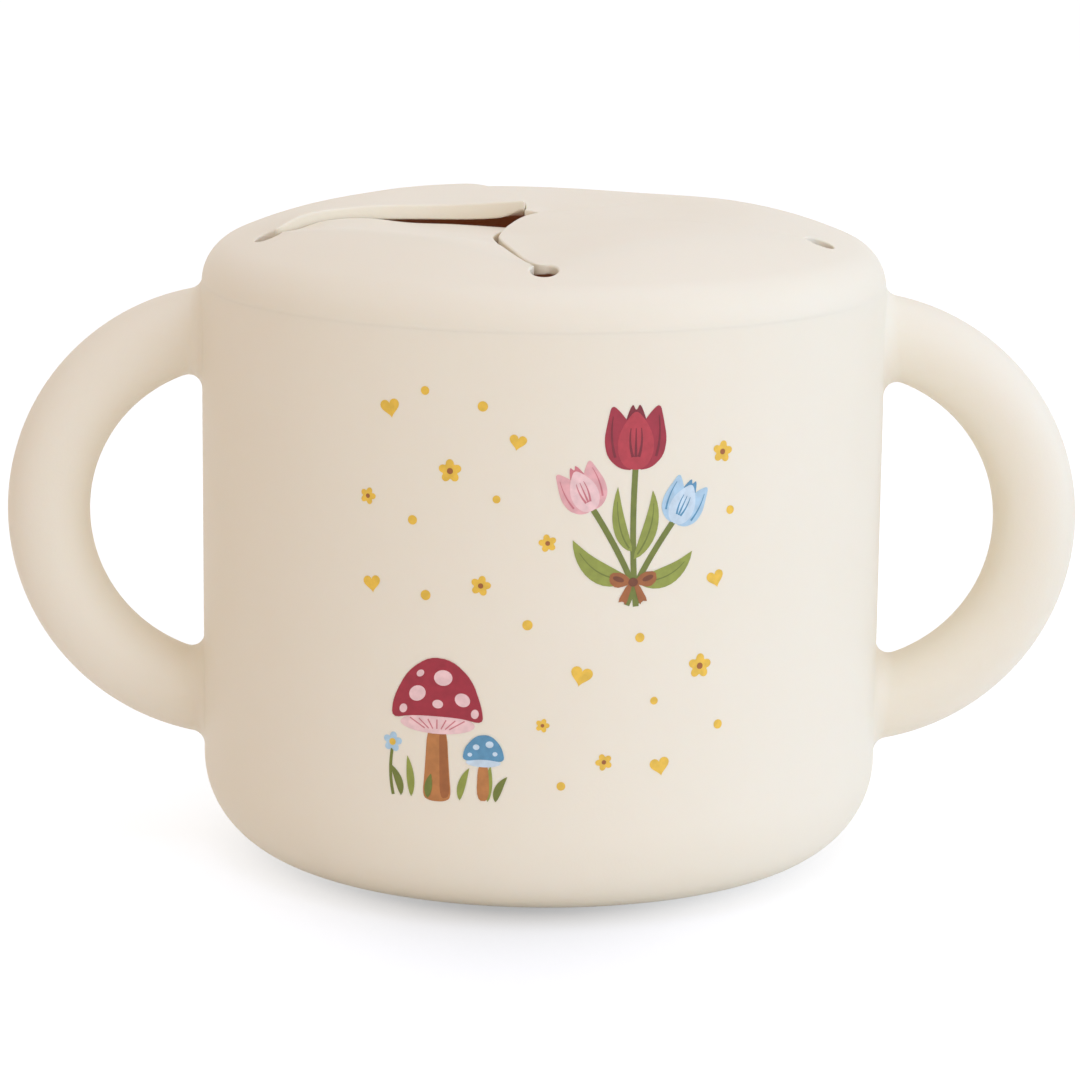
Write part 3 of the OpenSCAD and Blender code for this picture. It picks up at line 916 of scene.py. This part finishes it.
def mushrooms(cx, cy):
    """A large and a small mushroom and a flower in grass, 15 wide and 19 high."""
    art = []
    for x, lean, size in BLADES:
        tip = (x - size * math.sin(math.radians(lean)), size * math.cos(math.radians(lean)))
        colour = "leaf" if size > PALE_FROM else "stem"
        art.append((leaf(curve((x, 0), (x, size * 0.5), tip), 1.0), colour, 4))
    big = [(rounded(BIG_FOOT), "brown_light", 1), (rounded(FOOT_SHADE), "brown", 2),
           (oval(0, 9.6, 4.9, 1.25), "pink_light", 3),
           (rounded([(CAP_SHARE * x, y) for x, y in BIG_CAP]), "red", 5)]
    big += [(stroke([(x * 0.45, 9.0), (x, 10.2)], 0.16), "rose", 4) for x in GILLS]
    art += moved(big, BIG_X, 0) + [(oval(*spot), "pink_light", 6) for spot in BIG_SPOTS]
    small = [(rounded(SMALL_FOOT), "brown_light", 5), (oval(0, 5.0, 2.2, 0.55), "blue_pale", 6),
             (rounded(SMALL_CAP), "blue", 7)]
    small += [(oval(x, y, r, r * 0.85), "blue_pale", 8) for x, y, r in SMALL_SPOTS]
    art += moved(small, SMALL_X, 0)
    flower = [(stroke(curve((0.1, 0), (-0.6, 3), (0, 6.2)), 0.4), "stem", 1),
              (blossom(0, 6.8, 2.6, 10), "blue_light", 2), (oval(0, 6.8, 0.45, 0.45), "yellow", 3)]
    return moved(art + moved(flower, FLOWER_X, 0), cx, cy)


# Small shapes on the wall: place and size, and the lean of hearts and blossoms
HEARTS = ((-19.5, 66.0, 2.6, 12), (-3.0, 62.5, 2.2, -10), (22.8, 44.5, 2.4, 15), (5.2, 33.0, 2.8, -14),
          (-22.0, 43.5, 2.4, 8), (15.5, 21.0, 2.6, 10))
BLOSSOMS = ((-11.5, 58.5, 3.0, 20), (-22.6, 54.5, 2.2, 0), (0.8, 49.8, 2.3, 30), (23.5, 60.5, 2.8, 10),
            (-7.5, 44.2, 2.6, 5), (20.8, 33.4, 3.2, 15), (8.2, 21.8, 2.2, 40), (0.4, 26.6, 1.8, 0))
DOTS = ((-14.8, 68.4, 1.1), (-7.4, 66.8, 1.3), (-16.4, 52.0, 1.2), (-5.6, 55.2, 1.0), (-14.6, 42.6, 1.3),
        (24.8, 53.0, 1.1), (12.6, 37.6, 1.2), (-1.6, 39.4, 1.3), (14.6, 29.4, 1.0), (23.6, 25.6, 1.2),
        (2.8, 18.8, 1.1))


def small_shapes():
    """Hearts, blossoms and dots strewn round the two pictures."""
    art = [(heart(*spot), "yellow", 1) for spot in HEARTS]
    for x, z, size, lean in BLOSSOMS:
        art.append((blossom(x, z, size, lean), "yellow", 1))
        art.append((oval(x, z, size * 0.13, size * 0.13), "brown", 2))
    return art + [(oval(x, z, size / 2, size / 2), "yellow", 1) for x, z, size in DOTS]


def on_wall(u, z, h):
    """A point h off the cup wall, u to the right of its front."""
    r = outer_x(z) + h
    return r * math.sin(u / CUP_R), -r * math.cos(u / CUP_R), z


def printed(art):
    """One thin closed piece for each colour, that lies on the wall."""
    for colour in INK:
        verts, faces = [], []
        for shape, _, level in (a for a in art if a[1] == colour):
            area = sum(a[0] * b[1] - b[0] * a[1] for a, b in zip(shape, shape[1:] + shape[:1]))
            shape = shape if area > 0 else shape[::-1]
            points, triangles = sheet_faces([shape], [], PRINT_CLEAR, PRINT_PITCH)
            n, m, base = len(points), len(shape), len(verts)
            verts += [on_wall(u, z, INK_H + LEVEL_H * level) for u, z in points]
            verts += [on_wall(u, z, -INK_DEPTH) for u, z in points]
            faces += [tuple(base + i for i in f) for f in triangles]
            faces += [tuple(base + n + i for i in reversed(f)) for f in triangles]
            for i in range(m):
                j = (i + 1) % m
                faces.append((base + i, base + n + i, base + n + j, base + j))
        obj = piece("print_" + colour, verts, faces, ink(colour), merge=0)
        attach(obj, "cup")


printed(tulip_bunch(11.5, 41.6) + mushrooms(-12.0, 16.6) + small_shapes())


# ---- Floor and background ----

FLOOR_HALF = 4.0
# The paper's colour in the lamps' light, and the grey on which the camera sees the shadow
PAPER, SHADOW = (0.95, 0.94, 0.93, 1), (0.28, 0.285, 0.3, 1)
# What the camera sees of the floor: its own light, and a painted shade under the cup (from ambient
# occlusion), with its reach, its darkest place along X, its spread and its strength
FLOOR_GLOW, PAINTED_SHADE_REACH, PAINTED_SHADE_AT, PAINTED_SHADE_SPREAD, PAINTED_SHADE_DARK = 0.84, 0.06, -0.004, 0.029, 0.45
SKY, SKY_STRENGTH = (1, 0.827, 0.696, 1), 0.662


def maths(tree, operation, *values):
    """The output of a Math node. Each value is a number or another node's output."""
    node = tree.nodes.new("ShaderNodeMath")
    node.operation = operation
    for socket, value in zip(node.inputs, values):
        if isinstance(value, (int, float)):
            socket.default_value = value
        else:
            tree.links.new(value, socket)
    return node.outputs[0]


def seen_plainly(tree):
    """1 for the rays of the camera and for those that a mirror or glass sends on, else 0."""
    rays = tree.nodes.new("ShaderNodeLightPath").outputs
    sent_on = maths(tree, "MAXIMUM", rays["Is Glossy Ray"], rays["Is Transmission Ray"])
    return maths(tree, "MAXIMUM", rays["Is Camera Ray"], sent_on)


def show(tree, lit, seen, kind):
    """Ends the tree in one shader for light and another one for what the camera sees."""
    mix, out = tree.nodes.new("ShaderNodeMixShader"), tree.nodes.new("ShaderNodeOutput" + kind)
    tree.links.new(seen_plainly(tree), mix.inputs[0])
    tree.links.new(lit.outputs[0], mix.inputs[1])
    tree.links.new(seen.outputs[0], mix.inputs[2])
    tree.links.new(mix.outputs[0], out.inputs["Surface"])


def coloured(tree, kind, colour):
    """A new shader node in a colour."""
    shader = tree.nodes.new(kind)
    shader.inputs["Color"].default_value = colour
    return shader


def pale_floor():
    """White paper. The camera sees it white but for the shadow and a painted shade under the cup."""
    mesh = bpy.data.meshes.new("floor")
    corners = [(x * FLOOR_HALF, y * FLOOR_HALF, 0) for x, y in ((-1, -1), (1, -1), (1, 1), (-1, 1))]
    mesh.from_pydata(corners, [], [(0, 1, 2, 3)])
    obj = bpy.data.objects.new("floor", mesh)
    bpy.context.scene.collection.objects.link(obj)
    mat, tree = new_material("floor_white")
    tree.nodes.clear()
    # Painted shade: the camera's floor light is darkened where ambient occlusion finds the cup near
    near = tree.nodes.new("ShaderNodeAmbientOcclusion")
    near.inputs["Distance"].default_value = PAINTED_SHADE_REACH
    near.samples = 16
    dark = tree.nodes.new("ShaderNodeMapRange")
    for key, value in (("From Min", 0.1), ("From Max", 1.0), ("To Min", 1), ("To Max", 0)):
        dark.inputs[key].default_value = value
    tree.links.new(near.outputs["AO"], dark.inputs["Value"])
    # The painted shade fades to both sides of its darkest place
    place = tree.nodes.new("ShaderNodeTexCoord")
    split = tree.nodes.new("ShaderNodeSeparateXYZ")
    tree.links.new(place.outputs["Object"], split.inputs[0])
    away = maths(tree, "DIVIDE", maths(tree, "ADD", split.outputs["X"], -PAINTED_SHADE_AT), PAINTED_SHADE_SPREAD)
    fade = maths(tree, "EXPONENT", maths(tree, "MULTIPLY", maths(tree, "POWER", away, 2), -1))
    # The painted shade: occlusion darkening times the fade, taken off the floor's own light below
    rim = maths(tree, "MULTIPLY", dark.outputs["Result"], maths(tree, "MULTIPLY", fade, PAINTED_SHADE_DARK))
    glow = tree.nodes.new("ShaderNodeEmission")
    tree.links.new(maths(tree, "SUBTRACT", FLOOR_GLOW, rim), glow.inputs["Strength"])
    seen = tree.nodes.new("ShaderNodeAddShader")
    tree.links.new(coloured(tree, "ShaderNodeBsdfDiffuse", SHADOW).outputs[0], seen.inputs[0])
    tree.links.new(glow.outputs[0], seen.inputs[1])
    show(tree, coloured(tree, "ShaderNodeBsdfDiffuse", PAPER), seen, "Material")
    mesh.materials.append(mat)


def world():
    """Warm soft light from all sides, white where the camera sees it."""
    studio = bpy.data.worlds.new("studio")
    bpy.context.scene.world = studio
    studio.use_nodes = True
    tree = studio.node_tree
    tree.nodes.clear()
    sky = coloured(tree, "ShaderNodeBackground", SKY)
    sky.inputs["Strength"].default_value = SKY_STRENGTH
    show(tree, sky, coloured(tree, "ShaderNodeBackground", (1, 1, 1, 1)), "World")


pale_floor()
world()


# ---- Light ----

# Name, place in metres, size, power and colour
LAMPS = (("key", (0.6, -1.05, 0.3), 0.8, 5.03, (0.586, 0.748, 1)),
         ("side", (1.2, 0.1, 0.3), 0.8, 4.15, (0.373, 0.647, 1)),
         ("top", (0.1, -0.1, 1.3), 1.0, 5.85, (0.494, 0.664, 1)))
LAMP_AIM = Vector((0, 0, 0.04))
# The light that soft silicone lets through, seen in the open slit
GLOW_AT, GLOW_POWER, GLOW_COLOUR, GLOW_R = (0, 0, 0.045), 0.0025, (1, 0.25, 0.12), 0.02


def lamp(name, kind, at, power, colour):
    """A light of that kind at a place in metres."""
    light = bpy.data.lights.new(name, kind)
    light.energy, light.color = power, colour
    obj = bpy.data.objects.new(name, light)
    bpy.context.scene.collection.objects.link(obj)
    obj.location = at
    return obj


for name, at, size, power, colour in LAMPS:
    soft_lamp = lamp(name, "AREA", at, power, colour)
    soft_lamp.data.shape, soft_lamp.data.size = "DISK", size
    soft_lamp.rotation_euler = (LAMP_AIM - Vector(at)).to_track_quat("-Z", "Y").to_euler()
lamp("inside", "POINT", GLOW_AT, GLOW_POWER, GLOW_COLOUR).data.shadow_soft_size = GLOW_R


# ---- Camera, as in the photograph ----

# Distance from the target in millimetres, focal length in pixels of the photograph, and degrees
CAMERA_D, CAMERA_F, CAMERA_UP, CAMERA_ROLL = 638.96, 4798.476, 11.482, 0.619
TARGET = Vector((-0.155, 0, 41.092))
IMAGE_W, SENSOR_W = 1080, 36


def photo_camera():
    """The camera: above the front by CAMERA_UP, and turned about its view by CAMERA_ROLL."""
    e, roll, across_view = math.radians(CAMERA_UP), math.radians(CAMERA_ROLL), Vector((1, 0, 0))
    forward = Vector((0, math.cos(e), -math.sin(e)))
    upward = Vector((0, math.sin(e), math.cos(e)))
    right = math.cos(roll) * across_view + math.sin(roll) * upward
    upward = -math.sin(roll) * across_view + math.cos(roll) * upward
    data = bpy.data.cameras.new("camera")
    data.sensor_width, data.lens = SENSOR_W, CAMERA_F * SENSOR_W / IMAGE_W
    data.clip_start, data.clip_end = 0.01, 20
    camera = bpy.data.objects.new("camera", data)
    bpy.context.scene.collection.objects.link(camera)
    turn = Matrix((right, upward, -forward)).transposed().to_4x4()
    camera.matrix_world = Matrix.Translation((TARGET - CAMERA_D * forward) * MM) @ turn
    return camera


bpy.context.scene.camera = photo_camera()
bpy.context.scene.view_settings.view_transform = "Standard"

bpy.context.view_layer.update()
